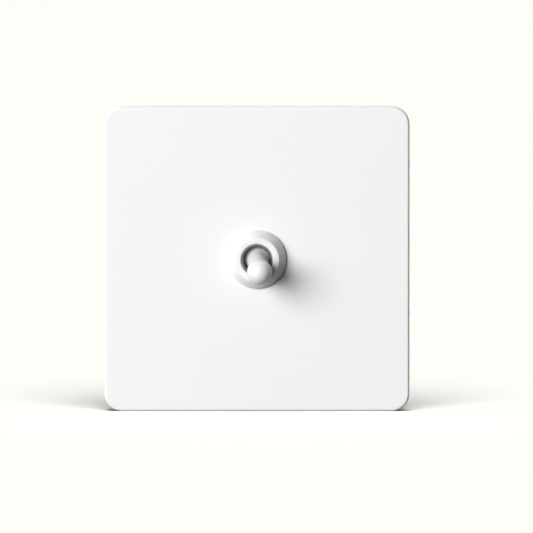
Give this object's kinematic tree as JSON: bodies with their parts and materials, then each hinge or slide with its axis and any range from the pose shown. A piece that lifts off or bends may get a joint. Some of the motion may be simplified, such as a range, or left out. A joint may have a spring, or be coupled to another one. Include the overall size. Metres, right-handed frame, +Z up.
{
  "type": "toggle wall switch",
  "caption": "Square single wall plate with rounded corners, a conical dress nut and a ball-ended toggle lever that tilts up and down; change-over mechanism, yoke and screws behind.",
  "frame": {"origin": "centre of the faceplate's rear rim, on the wall's surface", "axes": "+X to the right seen from the front, +Z up, +Y into the wall; the front faces -Y"},
  "size_m": [0.086, 0.0443, 0.086],
  "materials": {
    "plate_paint": "smooth satin white powder coat",
    "collar_paint": "satin white coating on a turned nut",
    "lever_paint": "satin white coating on a turned lever",
    "bushing_nickel": "turned, dull nickel plating",
    "nut_zinc": "zinc plating",
    "yoke_zinc": "zinc plated sheet steel",
    "spring_steel": "bare spring steel",
    "rivet_steel": "plain steel rivet",
    "screw_zinc": "zinc plated screw",
    "retainer_nylon": "natural nylon",
    "frame_steel": "zinc plated folded sheet",
    "insulator_fibre": "vulcanised fibre sheet",
    "base_moulding": "black phenolic moulding",
    "pin_steel": "ground steel pin",
    "plunger_nylon": "natural nylon",
    "contact_copper": "rolled copper alloy strip",
    "contact_silver": "silver contact rivet",
    "terminal_brass": "milled brass"
  },
  "bodies": {
    "fixed": {"faceplate": "plate_paint", "collar_nut": "collar_paint", "bushing": "bushing_nickel", "hex_nut": "nut_zinc", "lock_washer": "nut_zinc", "mounting_yoke": "yoke_zinc", "plate_clips": "spring_steel", "clip_rivets": "rivet_steel", "mounting_screws": "screw_zinc", "screw_retainers": "retainer_nylon", "switch_frame": "frame_steel", "insulator": "insulator_fibre", "switch_base": "base_moulding", "lever_pin": "pin_steel", "common_saddle": "contact_copper", "line1_contact": "contact_copper", "line2_contact": "contact_copper", "fixed_tips": "contact_silver", "common_block": "terminal_brass", "line1_block": "terminal_brass", "line2_block": "terminal_brass", "earth_block": "terminal_brass", "earth_rivet": "rivet_steel"},
    "toggle": {"lever": "lever_paint", "plunger_spring": "spring_steel"},
    "plunger": {"plunger": "plunger_nylon"},
    "rocker": {"rocker": "contact_copper", "moving_tips": "contact_silver"},
    "common_screw": {"common_screw": "screw_zinc"},
    "line1_screw": {"line1_screw": "screw_zinc"},
    "line2_screw": {"line2_screw": "screw_zinc"},
    "earth_screw": {"earth_screw": "screw_zinc"}
  },
  "joints": [
    {"name": "lever_tilt", "type": "hinge", "parent": "fixed", "child": "toggle", "pos_m": [0, -0.0037, 0], "axis": [-1, 0, 0], "range_deg": [0, 20.5]},
    {"name": "plunger_press", "type": "slide", "parent": "toggle", "child": "plunger", "axis": [0, -0.984, -0.1779], "range_m": [0, 0.0008], "stiffness_N_per_m": 400, "springref_m": -0.001, "deforming": ["plunger_spring"]},
    {"name": "rocker_tilt", "type": "hinge", "parent": "fixed", "child": "rocker", "pos_m": [0, 0.00837, 0], "axis": [1, 0, 0], "range_deg": [0, 18.1]},
    {"name": "common_screw_travel", "type": "slide", "parent": "fixed", "child": "common_screw", "axis": [-1, 0, 0], "range_m": [0, 0.002]},
    {"name": "line1_screw_travel", "type": "slide", "parent": "fixed", "child": "line1_screw", "axis": [-1, 0, 0], "range_m": [0, 0.002]},
    {"name": "line2_screw_travel", "type": "slide", "parent": "fixed", "child": "line2_screw", "axis": [-1, 0, 0], "range_m": [0, 0.002]},
    {"name": "earth_screw_travel", "type": "slide", "parent": "fixed", "child": "earth_screw", "axis": [0, -1, 0], "range_m": [0, 0.0018]}
  ],
  "couplings": [
    {"joint": "rocker_tilt", "follows": "lever_tilt", "ratio": 0.87805}
  ]
}
